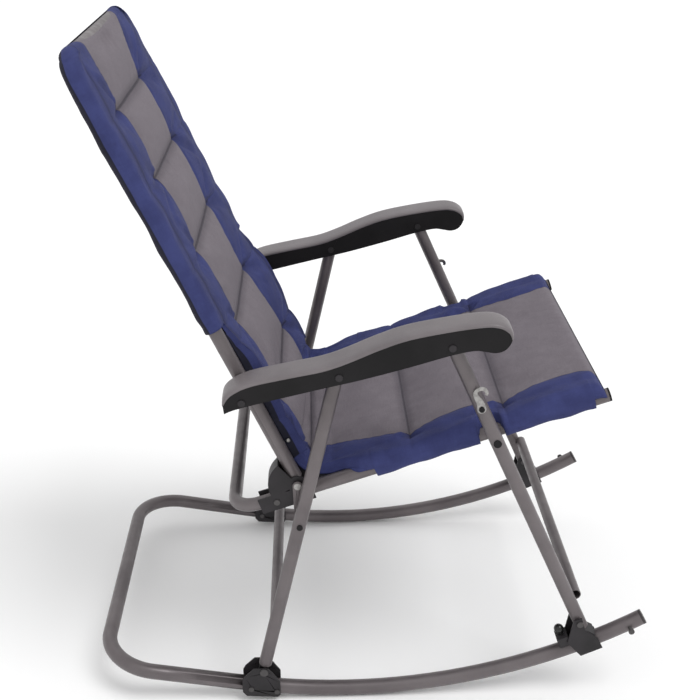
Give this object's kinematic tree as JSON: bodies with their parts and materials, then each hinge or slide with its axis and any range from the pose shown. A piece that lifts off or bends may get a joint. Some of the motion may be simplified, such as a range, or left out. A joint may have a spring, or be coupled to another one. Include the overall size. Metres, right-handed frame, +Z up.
{
  "type": "camp rocking chair",
  "caption": "Folding camp rocking chair: bent-tube rocker base, jointed leg frames, moulded arms and a quilted padded fabric seat and high back.",
  "frame": {"origin": "on the floor, under the middle of the rocker base's length and width", "axes": "+X the way the sitter faces, +Y the sitter's left, +Z up"},
  "size_m": [0.931, 0.6106, 1.0813],
  "materials": {
    "tube": "satin warm-grey powder coat",
    "bracket": "matte dark powder coat",
    "arm_shell": "matte black moulded plastic",
    "arm_cover": "satin warm-grey moulded plastic",
    "black_cap": "semi-gloss black plastic",
    "zinc": "bright zinc-plated steel",
    "fabric_grey": "plain-weave padded polyester",
    "fabric_blue": "plain-weave padded polyester"
  },
  "bodies": {
    "rocker_base": {"rocker_base_tube": "tube", "rocker_end_caps": "black_cap", "rocker_latch_studs": "zinc", "left_leg_bracket_outer": "bracket", "left_leg_bracket_inner": "bracket", "right_leg_bracket_outer": "bracket", "right_leg_bracket_inner": "bracket", "leg_bracket_screws": "zinc", "rear_leg_pivot_pins": "zinc"},
    "rear_legs": {"rear_leg_frame": "tube", "rear_leg_foot_plugs": "black_cap", "rear_leg_top_plugs": "black_cap", "link_pivot_pins": "zinc"},
    "arms": {"left_arm_shell": "arm_shell", "right_arm_shell": "arm_shell", "left_arm_cover": "arm_cover", "right_arm_cover": "arm_cover", "arm_pivot_rivets": "zinc", "arm_spacers": "black_cap"},
    "back": {"back_frame_tube": "tube", "back_post_plugs": "black_cap", "back_pad": "fabric_grey"},
    "front_legs": {"front_leg_frame": "tube", "front_leg_top_plugs": "black_cap", "left_foot_saddle": "bracket", "right_foot_saddle": "bracket", "saddle_rivets": "zinc", "left_pin_housing": "black_cap", "right_pin_housing": "black_cap", "seat_pivot_bolts": "zinc", "seat_pivot_spacers": "black_cap", "hook_rivets": "zinc"},
    "left_pin": {"left_pull_knob": "black_cap", "left_lock_pin": "zinc"},
    "right_pin": {"right_pull_knob": "black_cap", "right_lock_pin": "zinc"},
    "left_hook": {"left_latch_hook": "zinc"},
    "right_hook": {"right_latch_hook": "zinc"},
    "seat": {"seat_frame_tube": "tube", "rail_end_caps": "black_cap", "left_hinge_bracket": "bracket", "right_hinge_bracket": "bracket", "hinge_bracket_rivets": "zinc", "back_pivot_bolts": "zinc", "seat_pad": "fabric_blue"},
    "stay_links": {"left_stay_link": "tube", "right_stay_link": "tube", "link_rivets": "zinc"}
  },
  "joints": [
    {"name": "base_swing", "type": "hinge", "parent": "rocker_base", "child": "rear_legs", "pos_m": [-0.1805, 0, 0.062], "axis": [0, -1, 0], "range_deg": [0, 20]},
    {"name": "chair_fold", "type": "hinge", "parent": "rear_legs", "child": "arms", "pos_m": [-0.05246, 0, 0.62328], "axis": [0, -1, 0], "range_deg": [0, 54]},
    {"name": "back_hinge", "type": "hinge", "parent": "arms", "child": "back", "pos_m": [-0.19693, 0, 0.58403], "axis": [0, -1, 0], "range_deg": [-73.5, 0]},
    {"name": "front_leg_hinge", "type": "hinge", "parent": "arms", "child": "front_legs", "pos_m": [0.11294, 0, 0.66822], "axis": [0, -1, 0], "range_deg": [-73.5, 0]},
    {"name": "seat_hinge", "type": "hinge", "parent": "back", "child": "seat", "pos_m": [-0.11761, 0, 0.40918], "axis": [0, -1, 0], "range_deg": [0, 73.5]},
    {"name": "stay_link_hinge", "type": "hinge", "parent": "rear_legs", "child": "stay_links", "pos_m": [-0.11534, 0, 0.34766], "axis": [0, -1, 0], "range_deg": [-156.8, 0]},
    {"name": "left_pin_pull", "type": "slide", "parent": "front_legs", "child": "left_pin", "axis": [-0.3843, 0, 0.9232], "range_m": [0, 0.01], "stiffness_N_per_m": 400, "springref_m": -0.004},
    {"name": "right_pin_pull", "type": "slide", "parent": "front_legs", "child": "right_pin", "axis": [-0.3843, 0, 0.9232], "range_m": [0, 0.01], "stiffness_N_per_m": 400, "springref_m": -0.004},
    {"name": "left_hook_turn", "type": "hinge", "parent": "front_legs", "child": "left_hook", "pos_m": [0.16437, 0.279, 0.55484], "axis": [0, -1, 0], "range_deg": [-70, 25]},
    {"name": "right_hook_turn", "type": "hinge", "parent": "front_legs", "child": "right_hook", "pos_m": [0.16437, -0.279, 0.55484], "axis": [0, -1, 0], "range_deg": [-70, 25]}
  ],
  "couplings": [
    {"joint": "back_hinge", "follows": "chair_fold", "ratio": -1.3593},
    {"joint": "front_leg_hinge", "follows": "chair_fold", "ratio": -1.3593},
    {"joint": "seat_hinge", "follows": "chair_fold", "ratio": 1.3593},
    {"joint": "stay_link_hinge", "follows": "chair_fold", "ratio": -2.9015}
  ]
}
